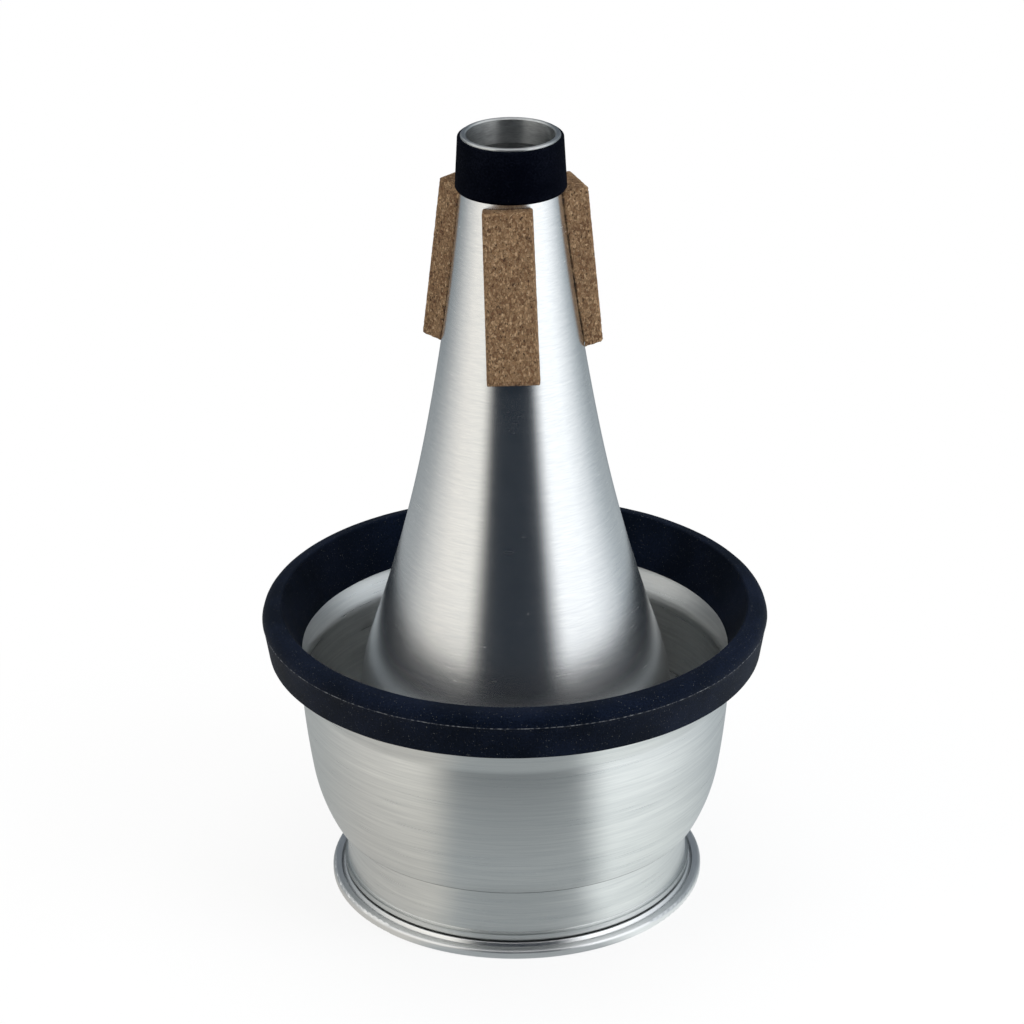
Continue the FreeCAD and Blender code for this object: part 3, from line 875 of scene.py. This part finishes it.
@dataclass
class Cup:
    """The sliding cup: spun shell, felt liner and moulded rim, in millimetres and degrees."""

    lathe: Lathe
    sheet: float = 0.9
    lip_bottom: float = 3.3
    lip_height: float = 2.0
    lip_radius: float = 43.1
    lip_rounding: float = 0.35
    collar_radius: float = 42.3
    floor_height: float = 18.0
    floor_radius: float = 44.9
    crease: float = 0.5
    liner_bore: float = 38.6
    liner_radius: float = 41.35
    liner_bottom: float = 3.9
    ring_rise: float = 6.31
    ring_width: float = 3.52
    ring_bulge: float = 1.4
    parting_rise: float = 8.6
    ring_height: float = 12.0
    ring_crown: float = 4.6
    shoulder_run: float = 2.6
    shoulder_drop: float = 0.3
    ring_lip: float = 3.38
    ring_rounding: float = 0.5
    glue_gap: float = 0.05
    rim_lean: float = 28.0
    rim_length: float = 10.0

    def bowl(self) -> Wall:
        """The cup's outer wall from the flat floor's edge to where its rim flares."""
        wall = Wall([Stop(self.floor_radius, self.floor_height, 90.0)])
        return wall.bend(1.0, 28.0).bend(43.0, 8.8).bend(228.0, 3.3).straight(0.44).bend(5.0, self.rim_lean)

    def wall(self) -> Wall:
        """The cup's outer wall from the flat floor's edge to the end of the flared rim."""
        return self.bowl().straight(self.rim_length)

    def shell(self, finish: Finish) -> bpy.types.Object:
        """Collar with a hemmed lip, flat floor, bulging wall and flared rim."""
        wall, collar, bore = self.wall(), self.collar_radius, self.collar_radius - self.sheet
        lip_top = self.lip_bottom + self.lip_height
        outline = Outline().corner(self.lip_radius, self.lip_bottom, self.lip_rounding)
        outline.corner(self.lip_radius, lip_top, self.lip_rounding).corner(collar, lip_top, 0.15)
        outline.corner(collar, self.floor_height, self.crease).run(wall.outside())
        outline.run(wall.inside(self.sheet)).corner(bore, self.floor_height + self.sheet, self.crease + self.sheet)
        outline.corner(bore, self.lip_bottom)
        piece = self.lathe.turn("cup_bowl", outline, finish.build(), steps=320)
        return fit(piece, Body.CUP, Slot.ALUMINIUM, "cup_shell")

    def liner(self, finish: Finish) -> bpy.types.Object:
        """Felt band glued in the collar."""
        outline = Outline().corner(self.liner_bore, self.liner_bottom, 0.35)
        outline.corner(self.liner_radius, self.liner_bottom).corner(self.liner_radius, self.floor_height)
        outline.corner(self.liner_bore, self.floor_height, 0.35)
        piece = self.lathe.turn("felt_band", outline, finish.build(), steps=240, waver=0.1, waver_size=2.5)
        return fit(piece, Body.CARRIAGE, Slot.FELT, "collar_liner")

    def rim_bend(self) -> Stop:
        """Where the wall's last bend ends and the flared rim starts."""
        return self.bowl().stops[-1]

    def parting_height(self) -> float:
        """Height of the line where the ring's mould parted."""
        return self.rim_bend().height + self.ring_rise + self.parting_rise

    def rim_section(self) -> Outline:
        """Section of the rubber ring, with the thin flash that its mould left at the parting."""
        stops = self.wall().stops
        bend = self.rim_bend()
        slope = math.tan(math.radians(self.rim_lean))
        underside = bend.height + self.ring_rise
        metal = bend.radius + self.ring_rise * slope
        corner = metal + self.ring_width
        parting, parting_height = corner + self.ring_bulge, self.parting_height()
        crown = underside + self.ring_height
        shoulder_rise = self.ring_height - self.shoulder_drop - self.parting_rise
        bow = (self.shoulder_run**2 + shoulder_rise**2) / (2 * self.shoulder_run)
        inner_top = parting - self.ring_crown
        sheet_width = self.sheet / math.cos(math.radians(self.rim_lean))
        slot_in, slot_out = metal - sheet_width - self.glue_gap, metal + self.glue_gap
        slot_top = stops[-1].inward(self.sheet).height + self.glue_gap
        slot_run = (slot_top - underside) * slope
        flash, flash_width = 0.09, 0.1
        outline = Outline().corner(corner, underside, self.ring_rounding)
        steps = 6
        for i in range(1, steps):
            share = i / steps
            outline.corner(corner + self.ring_bulge * share, underside + self.parting_rise * share)
        outline.corner(parting, parting_height - flash_width)
        outline.corner(parting + flash, parting_height).corner(parting, parting_height + flash_width)
        for i in range(1, 9):
            turn = math.asin(shoulder_rise / bow) * i / 8
            outline.corner(parting - bow * (1 - math.cos(turn)), parting_height + bow * math.sin(turn))
        outline.corner(inner_top, crown, self.ring_rounding)
        inner_foot = slot_in - self.ring_lip
        for i in range(1, steps):
            share = i / steps
            outline.corner(inner_top + (inner_foot - inner_top) * share, crown - self.ring_height * share)
        outline.corner(inner_foot, underside).corner(slot_in, underside)
        outline.corner(slot_in + slot_run, slot_top).corner(slot_out + slot_run, slot_top)
        return outline.corner(slot_out, underside)

    def rim(self, finish: Finish) -> bpy.types.Object:
        """Moulded rubber ring pushed over the flared rim."""
        outline = self.rim_section()
        piece = self.lathe.turn("rubber_rim", outline, finish.build(), steps=360, waver=0.14, waver_size=9.0)
        return fit(piece, Body.CUP, Slot.RIM, "rim_ring")

    def build(self) -> None:
        """Builds the cup's pieces."""
        # The cup's metal gets painted shade in a thin band just above the floor's height.
        self.shell(SpunAluminium("aluminium_spun_cup", roughness=0.32, stretch=0.7, dark="#CBCECF", spread=0.07,
                                 light="#E6E8E7", line_pitch=0.4, line_run=12.0, streak_pitch=1.1,
                                 streak_run=45.0, streaks=0.5, line_depth=0.005,
                                 crease=self.floor_height + 0.1))
        self.liner(PressedFelt("felt_pressed_liner"))
        self.rim(MouldedRubber("rubber_moulded_rim", specks=0.09, parting=self.parting_height()))


@dataclass(frozen=True)
class CorkPlace:
    """Where a pad stands, in degrees, and how much narrower it is at its top, in millimetres."""

    name: str
    node: str
    turn: float
    tilt: float
    taper: float


class CorkRelief:
    """Geometry Nodes tree that gives a cut block the broken surface of its granules."""

    def __init__(self) -> None:
        """Builds the tree."""
        self.tree = bpy.data.node_groups.new("cork_relief", "GeometryNodeTree")
        face = self.tree.interface
        face.new_socket("Block", in_out="INPUT", socket_type="NodeSocketGeometry")
        self.voxel = face.new_socket("Mesh Size", in_out="INPUT", socket_type="NodeSocketFloat")
        self.granule = face.new_socket("Granule", in_out="INPUT", socket_type="NodeSocketFloat")
        self.depth = face.new_socket("Relief", in_out="INPUT", socket_type="NodeSocketFloat")
        self.pit = face.new_socket("Pit Depth", in_out="INPUT", socket_type="NodeSocketFloat")
        self.seed = face.new_socket("Seed", in_out="INPUT", socket_type="NodeSocketFloat")
        self.paint = face.new_socket("Material", in_out="INPUT", socket_type="NodeSocketMaterial")
        face.new_socket("Pad", in_out="OUTPUT", socket_type="NodeSocketGeometry")
        self._fill()

    def _fill(self) -> None:
        """Adds the nodes: swelling granules, with pits where one has come out."""
        tree = self.tree
        given = add_node(tree, "NodeGroupInput").outputs
        place = add_node(tree, "GeometryNodeInputPosition").outputs[0]
        scale = add_node(tree, "ShaderNodeMath", {0: 1.0, 1: given["Granule"]}, operation="DIVIDE").outputs[0]
        grain = add_node(
            tree,
            "ShaderNodeTexNoise",
            {"Vector": place, "W": given["Seed"], "Scale": scale, "Detail": 2.0},
            noise_dimensions="4D",
        ).outputs["Fac"]
        swell = add_node(tree, "ShaderNodeMath", {0: grain, 1: 0.5}, operation="SUBTRACT").outputs[0]
        raised = add_node(
            tree, "ShaderNodeMath", {0: swell, 1: given["Relief"]}, operation="MULTIPLY"
        ).outputs[0]
        other = add_node(tree, "ShaderNodeMath", {0: given["Seed"], 1: 7.3}, operation="ADD").outputs[0]
        pits = add_node(
            tree,
            "ShaderNodeTexNoise",
            {"Vector": place, "W": other, "Scale": scale, "Detail": 1.0},
            noise_dimensions="4D",
        ).outputs["Fac"]
        mask = add_node(tree, "ShaderNodeMapRange", {"Value": pits, 1: 0.62, 2: 0.72}).outputs[0]
        sunk = add_node(
            tree, "ShaderNodeMath", {0: mask, 1: given["Pit Depth"]}, operation="MULTIPLY"
        ).outputs[0]
        height = add_node(tree, "ShaderNodeMath", {0: raised, 1: sunk}, operation="SUBTRACT").outputs[0]
        normal = add_node(tree, "GeometryNodeInputNormal").outputs[0]
        offset = add_node(
            tree, "ShaderNodeVectorMath", {0: normal, "Scale": height}, operation="SCALE"
        ).outputs[0]
        rough = add_node(
            tree, "GeometryNodeSetPosition", {"Geometry": given["Block"], "Offset": offset}
        ).outputs[0]
        smooth = add_node(tree, "GeometryNodeSetShadeSmooth", {"Geometry": rough}).outputs[0]
        real = add_node(tree, "GeometryNodeRealizeInstances", {0: smooth}).outputs[0]
        painted = add_node(
            tree, "GeometryNodeSetMaterial", {"Geometry": real, "Material": given["Material"]}
        ).outputs[0]
        add_node(tree, "NodeGroupOutput", {0: painted})


@dataclass
class CorkPads:
    """The three cork pads, each a block cut and glued by hand, in millimetres."""

    nodes: dict[str, bpy.types.Object]
    body: FlaredBody
    places: tuple[CorkPlace, ...] = (
        CorkPlace("front_cork", "cork_pad_front", -91.2, 1.7, 0.8),
        CorkPlace("right_cork", "cork_pad_right", 19.6, 0.1, 0.4),
        CorkPlace("left_cork", "cork_pad_left", 146.7, 4.0, 0.4),
    )
    mesh_size: float = 0.32
    granule: float = 0.9
    relief: float = 0.2
    pit_depth: float = 0.3
    # Width of the painted shade along the cork's edge at the wall.
    seat_shade_line: float = 0.35

    def block(self, place: CorkPlace) -> bpy.types.Mesh:
        """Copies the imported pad, narrows its top and meshes it evenly.

        Args:
            place: The pad.

        Returns:
            A closed mesh of small even faces.
        """
        mesh = self.nodes[place.node].data.copy()
        mesh.materials.clear()
        source = bpy.data.objects.new(f"{place.name}_block", mesh)
        bpy.context.scene.collection.objects.link(source)
        weld = source.modifiers.new("weld", "WELD")
        weld.merge_threshold = 0.005 * MM
        even = source.modifiers.new("even", "REMESH")
        even.mode = "VOXEL"
        even.voxel_size = self.mesh_size * MM
        graph = bpy.context.evaluated_depsgraph_get()
        graph.update()
        made = bpy.data.meshes.new_from_object(source.evaluated_get(graph))
        bpy.data.objects.remove(source)
        points = np.empty(len(made.vertices) * 3, np.float32)
        made.vertices.foreach_get("co", points)
        points = points.reshape(-1, 3)
        turn = math.radians(place.turn)
        side = np.array([-math.sin(turn), math.cos(turn), 0.0])
        low, high = points[:, 2].min(), points[:, 2].max()
        rise = (points[:, 2] - low) / (high - low)
        lean = math.tan(math.radians(place.tilt)) * (points[:, 2] - (low + high) / 2)
        off = points @ side + lean
        half = np.abs(off).max()
        points -= np.outer(off / half * rise * place.taper * MM / 2, side)
        made.vertices.foreach_set("co", points.ravel())
        return made

    def mark_seat_shade(self, mesh: bpy.types.Mesh) -> None:
        """Marks the cork's edge at the wall, where painted shade darkens it."""
        points = np.empty(len(mesh.vertices) * 3, np.float32)
        mesh.vertices.foreach_get("co", points)
        points = points.reshape(-1, 3)
        off = np.hypot(points[:, 0], points[:, 1]) - self.body.wall_radius(points[:, 2])
        mark = np.clip(1.3 - off / (self.seat_shade_line * MM), 0, 1)
        layer = mesh.attributes.new("seat_shade_line", "FLOAT", "POINT")
        layer.data.foreach_set("value", mark.astype(np.float32))

    def build(self) -> None:
        """Builds the three pads."""
        relief = CorkRelief()
        material = PressedCork("cork_agglomerate_cut").build()
        for number, place in enumerate(self.places):
            values = {
                relief.voxel: self.mesh_size * MM,
                relief.granule: self.granule * MM,
                relief.depth: self.relief * MM,
                relief.pit: self.pit_depth * MM,
                relief.seed: 3.7 * number,
                relief.paint: material,
            }
            piece = run_tree(place.name, self.block(place), relief.tree, values)
            self.mark_seat_shade(piece.data)
            fit(piece, Body.MUTE, Slot.CORK, place.node)


@dataclass(frozen=True)
class SoftLamp:
    """A square softbox aimed at the mute, in metres, with the level that it gives there."""

    name: str
    place: tuple[float, float, float]
    width: float
    level: float
    colour: str

    def build(self, aim: Vector) -> None:
        """Makes the lamp."""
        data = bpy.data.lights.new(self.name, "AREA")
        data.shape, data.size = "SQUARE", self.width
        data.color = linear(self.colour)[:3]
        away = Vector(self.place) - aim
        data.energy = self.level * math.pi**2 * away.length_squared
        lamp = bpy.data.objects.new(self.name, data)
        lamp.location = self.place
        lamp.rotation_euler = away.to_track_quat("Z", "Y").to_euler()
        lamp.visible_glossy = False
        bpy.context.scene.collection.objects.link(lamp)


@dataclass(frozen=True)
class Cards:
    """Glowing cards round the set and on the table, which only the metal's reflections see and which light nothing
    else: painted reflections. Each ring of them is given by heading, in degrees from the front to the right."""

    radius: float = 450.0
    height: float = 560.0
    lift: float = 0.1
    sides: int = 96
    strength: float = 1.75
    near: float = 90.0
    far: float = 220.0
    wall: tuple[tuple[float, str], ...] = (
        (-180.0, "#565C60"),
        (-131.0, "#6E7477"),
        (-110.0, "#8A8C8C"),
        (-93.0, "#A6A6A4"),
        (-70.0, "#C4C1BB"),
        (-41.0, "#C5C3BD"),
        (-26.0, "#161D25"),
        (27.0, "#161D25"),
        (43.0, "#DADDDF"),
        (72.0, "#D9DCDE"),
        (93.0, "#BABEC1"),
        (110.0, "#969CA0"),
        (131.0, "#6E7579"),
        (180.0, "#565C60"),
    )
    upper: tuple[tuple[float, str], ...] = (
        (-180.0, "#4A5058"),
        (-125.0, "#8A8D8E"),
        (-95.0, "#CFCECB"),
        (-41.0, "#E6E3DD"),
        (-26.0, "#1A2027"),
        (27.0, "#1A2027"),
        (43.0, "#FFFFFF"),
        (95.0, "#E2E6E9"),
        (125.0, "#8E9498"),
        (180.0, "#4A5058"),
    )
    table: tuple[tuple[float, str], ...] = (
        (-180.0, "#7E8282"),
        (-110.0, "#8C8E8D"),
        (-70.0, "#9C9A96"),
        (-38.0, "#A4A29D"),
        (-25.0, "#868A8B"),
        (27.0, "#868A8B"),
        (40.0, "#C6CAC9"),
        (64.0, "#BCC0BF"),
        (110.0, "#94999B"),
        (150.0, "#7E8385"),
        (180.0, "#7E8282"),
    )
    outer_table: tuple[tuple[float, str], ...] = (
        (-180.0, "#5E6468"),
        (-110.0, "#989A9A"),
        (-70.0, "#CAC7C1"),
        (-43.0, "#D6D3CC"),
        (-28.0, "#1C2229"),
        (27.0, "#1C2229"),
        (42.0, "#E9ECED"),
        (72.0, "#E0E3E5"),
        (110.0, "#A9AFB2"),
        (180.0, "#5E6468"),
    )

    def shade(
        self, name: str, rings: list[tuple[tuple[float, str], ...]], measure: str, low: float, high: float
    ) -> bpy.types.Material:
        """Makes the material of a set of cards.

        Args:
            name: Its name.
            rings: Colours by heading, of the first ring and of the one that it blends into.
            measure: Whether the blend goes by "height" or by "radius".
            low: Where the blend starts, in millimetres.
            high: Where it ends.

        Returns:
            The material.
        """
        material, tree = Finish(name).start()
        place = add_node(tree, "ShaderNodeTexCoord").outputs["Object"]
        parts = add_node(tree, "ShaderNodeSeparateXYZ", {0: place}).outputs
        reach = add_node(tree, "ShaderNodeVectorMath", {0: place}, operation="LENGTH").outputs["Value"]
        ahead = add_node(tree, "ShaderNodeMath", {0: parts["Y"], 1: -1.0}, operation="MULTIPLY").outputs[0]
        heading = add_node(tree, "ShaderNodeMath", {0: parts["X"], 1: ahead}, operation="ARCTAN2").outputs[0]
        share = add_node(
            tree, "ShaderNodeMapRange", {"Value": heading, 1: -math.pi, 2: math.pi}
        ).outputs[0]
        bands = []
        for stops in rings:
            ramp = add_node(tree, "ShaderNodeValToRGB", {0: share})
            set_stops(ramp.color_ramp, [((angle + 180) / 360, code) for angle, code in stops])
            bands.append(ramp.outputs[0])
        span = {"Value": parts["Z"] if measure == "height" else reach, 1: low * MM, 2: high * MM}
        blend = add_node(tree, "ShaderNodeMapRange", span).outputs[0]
        both = add_node(tree, "ShaderNodeMix", {0: blend, 6: bands[0], 7: bands[1]}, data_type="RGBA")
        # The cards glow with these colours, as painted reflections for the metal.
        glow = add_node(
            tree, "ShaderNodeEmission", {"Color": both.outputs[2], "Strength": self.strength}
        )
        add_node(tree, "ShaderNodeOutputMaterial", {"Surface": glow.outputs[0]})
        return material

    def place(
        self, name: str, points: list[tuple[float, float, float]], faces: list[tuple[int, ...]],
        material: bpy.types.Material,
    ) -> None:
        """Stands a set of cards in the studio, out of the light's and the camera's way."""
        mesh = bpy.data.meshes.new(name)
        mesh.from_pydata([tuple(v * MM for v in point) for point in points], [], faces)
        mesh.materials.append(material)
        card = bpy.data.objects.new(name, mesh)
        for kind in ("camera", "diffuse", "transmission", "volume_scatter", "shadow"):
            setattr(card, f"visible_{kind}", False)
        bpy.context.scene.collection.objects.link(card)

    def build(self) -> None:
        """Builds the ring of wall cards and the table cards."""
        turns = [math.tau * i / self.sides for i in range(self.sides)]
        rim = [(self.radius * math.cos(t), self.radius * math.sin(t)) for t in turns]
        wall = [(x, y, 0.0) for x, y in rim] + [(x, y, self.height) for x, y in rim]
        count = self.sides
        faces = [(i, (i + 1) % count, (i + 1) % count + count, i + count) for i in range(count)]
        upright = self.shade("card_glow_wall", [self.wall, self.upper], "height", 120.0, 260.0)
        self.place("wall_cards", wall, faces, upright)
        level = self.shade("card_glow_table", [self.table, self.outer_table], "radius", self.near, self.far)
        self.place("table_cards", [(x, y, self.lift) for x, y in rim], [tuple(range(count))], level)


@dataclass(frozen=True)
class Studio:
    """Pale floor, plain soft light, the cards and the camera, in millimetres and degrees."""

    aim_height: float = 97.66
    distance: float = 904.3
    pitch: float = 24.91
    roll: float = 0.5
    focal_pixels: float = 3747.0
    picture: float = 1024.0
    picture_shift: float = 1.8
    floor_size: float = 6000.0
    floor_colour: str = "#F2F2F1"
    floor_white: float = 0.86
    air_light: str = "#B2B4B6"
    lamps: tuple[SoftLamp, ...] = (
        SoftLamp("lamp_over", (0.0, 0.35, 1.6), 1.4, 0.5, "#FFFFFF"),
        SoftLamp("lamp_left", (-1.3, -0.5, 0.9), 0.9, 0.28, "#FFFAF2"),
        SoftLamp("lamp_right", (1.3, -0.6, 0.9), 0.9, 0.64, "#F4F9FF"),
    )

    def camera(self) -> bpy.types.Object:
        """Makes the camera at the photograph's angle."""
        data = bpy.data.cameras.new("camera")
        data.sensor_width = 36.0
        data.lens = self.focal_pixels / self.picture * data.sensor_width
        data.shift_x = -self.picture_shift / self.picture
        data.clip_start, data.clip_end = 0.01, 50.0
        camera = bpy.data.objects.new("camera", data)
        bpy.context.scene.collection.objects.link(camera)
        pitch = math.radians(self.pitch)
        back = Vector((0, -math.cos(pitch), math.sin(pitch)))
        camera.location = Vector((0, 0, self.aim_height * MM)) + back * self.distance * MM
        tilt = Euler((math.pi / 2 - pitch, 0, 0)).to_matrix()
        lean = Euler((0, 0, -math.radians(self.roll))).to_matrix()
        camera.rotation_euler = (tilt @ lean).to_euler()
        bpy.context.scene.camera = camera
        return camera

    def looked_at(self, tree: bpy.types.NodeTree) -> bpy.types.NodeSocket:
        """Adds a value of one for what the camera, metal and glass see, and zero for light."""
        rays = add_node(tree, "ShaderNodeLightPath").outputs
        direct = {0: rays["Is Camera Ray"], 1: rays["Is Glossy Ray"]}
        mirrored = add_node(tree, "ShaderNodeMath", direct, operation="MAXIMUM").outputs[0]
        through = {0: mirrored, 1: rays["Is Transmission Ray"]}
        return add_node(tree, "ShaderNodeMath", through, operation="MAXIMUM").outputs[0]

    def floor(self) -> bpy.types.Object:
        """Makes the pale floor, which shows as white and keeps the mute's shadow."""
        half = self.floor_size * MM / 2
        mesh = bpy.data.meshes.new("floor")
        corners = [(-half, -half, 0), (half, -half, 0), (half, half, 0), (-half, half, 0)]
        mesh.from_pydata(corners, [], [(0, 1, 2, 3)])
        floor = bpy.data.objects.new("floor", mesh)
        bpy.context.scene.collection.objects.link(floor)
        material, tree = Finish("floor_pale_board").start()
        place = add_node(tree, "ShaderNodeTexCoord").outputs["Object"]
        reach = add_node(tree, "ShaderNodeVectorMath", {0: place}, operation="LENGTH").outputs["Value"]
        fade = {"Value": reach, 1: 60 * MM, 2: 190 * MM, 3: self.floor_white, 4: 1.0}
        share = add_node(tree, "ShaderNodeMapRange", fade, interpolation_type="SMOOTHSTEP").outputs[0]
        seen = add_node(
            tree, "ShaderNodeMath", {0: self.looked_at(tree), 1: share}, operation="MULTIPLY"
        ).outputs[0]
        board = add_node(tree, "ShaderNodeBsdfDiffuse", {"Color": linear(self.floor_colour)}).outputs[0]
        white = add_node(tree, "ShaderNodeEmission", {"Strength": 1.0}).outputs[0]
        mixed = add_node(tree, "ShaderNodeMixShader", {0: seen, 1: board, 2: white})
        add_node(tree, "ShaderNodeOutputMaterial", {"Surface": mixed.outputs[0]})
        mesh.materials.append(material)
        return floor

    def surroundings(self) -> None:
        """Makes the world: white where it is seen or mirrored, and a plain soft light elsewhere."""
        world = bpy.data.worlds.new("studio")
        world.use_nodes = True
        bpy.context.scene.world = world
        tree = world.node_tree
        tree.nodes.clear()
        around = add_node(tree, "ShaderNodeBackground", {"Color": linear(self.air_light)}).outputs[0]
        white = add_node(tree, "ShaderNodeBackground", {"Color": (1, 1, 1, 1), "Strength": 1.0}).outputs[0]
        mixed = add_node(tree, "ShaderNodeMixShader", {0: self.looked_at(tree), 1: around, 2: white})
        add_node(tree, "ShaderNodeOutputWorld", {"Surface": mixed.outputs[0]})

    def build(self) -> None:
        """Builds the camera, floor, world, lamps and cards."""
        self.camera()
        self.floor()
        self.surroundings()
        for lamp in self.lamps:
            lamp.build(Vector((0, 0, self.aim_height * MM)))
        Cards().build()
        bpy.context.scene.view_settings.view_transform = "Standard"


def main() -> None:
    """Builds the studio and the mute's pieces in order."""
    logging.basicConfig(level=logging.INFO, format="%(name)s: %(message)s")
    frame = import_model()
    Studio().build()
    lathe = Lathe()
    body = FlaredBody(lathe, frame["nodes"])
    body.build()
    CorkPads(frame["nodes"], body).build()
    Cup(lathe).build()


if __name__ == "__main__":
    main()
